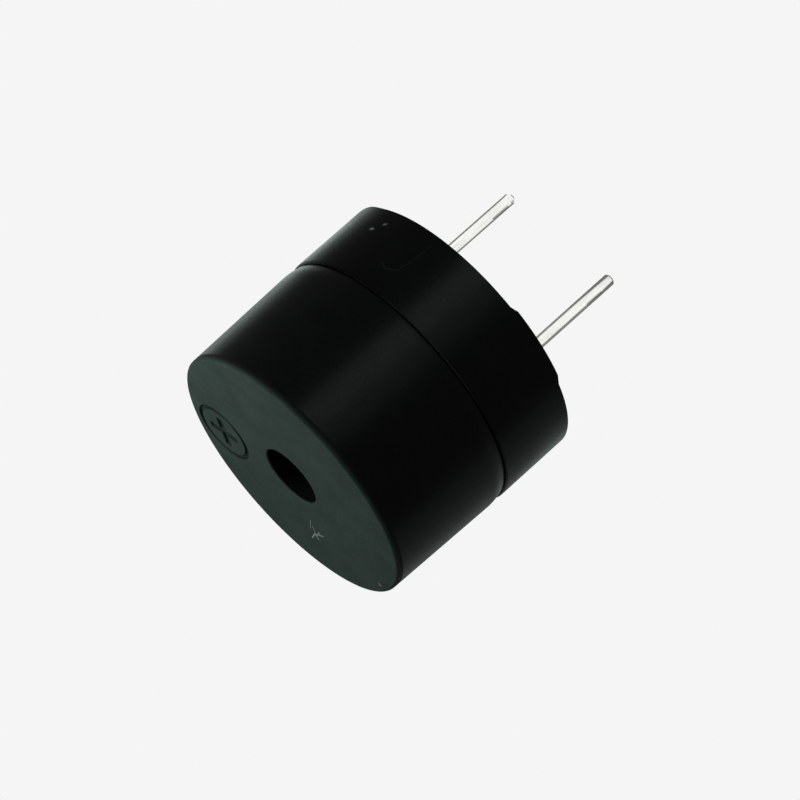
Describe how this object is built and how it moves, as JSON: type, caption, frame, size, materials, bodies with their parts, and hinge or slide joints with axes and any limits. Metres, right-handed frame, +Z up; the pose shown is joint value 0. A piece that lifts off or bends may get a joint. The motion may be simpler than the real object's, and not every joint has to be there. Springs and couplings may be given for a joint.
{
  "type": "piezo buzzer",
  "caption": "Round moulded sounder for a circuit board, with a sound port in its face, a split case on stand-off feet and a pair of tinned solder leads.",
  "frame": {"origin": "middle of the line between the two leads, on the seating plane under the feet", "axes": "+Z up through the sound port, X along the line of the leads with the positive lead on -X"},
  "size_m": [0.012, 0.012, 0.0154],
  "materials": {
    "case": "black moulded thermoplastic, fine matte texture on the face, smoother on the wall",
    "tinned_lead": "tinned wire, bright",
    "epoxy": "black cast resin, slightly glossy",
    "brass": "rolled brass foil",
    "ceramic": "fired, unglazed piezo ceramic",
    "silver": "screen-printed silver, matte",
    "silicone": "cured white silicone adhesive",
    "board": "glass-epoxy laminate with green solder mask",
    "component": "moulded black epoxy",
    "copper": "enamelled copper wire",
    "solder": "reflowed solder"
  },
  "bodies": {
    "root": {"sound_cap": "case", "base_ring": "case", "plate_adhesive": "silicone", "brass_plate": "brass", "piezo_ceramic": "ceramic", "main_electrode": "silver", "feedback_electrode": "silver", "circuit_board": "board", "drive_transistor": "component", "chip_resistors": "component", "main_lead": "copper", "feedback_lead": "copper", "plate_lead": "copper", "lead_solder": "solder", "positive_pin": "tinned_lead", "negative_pin": "tinned_lead", "pin_solder": "solder", "epoxy_seal": "epoxy"}
  },
  "joints": []
}
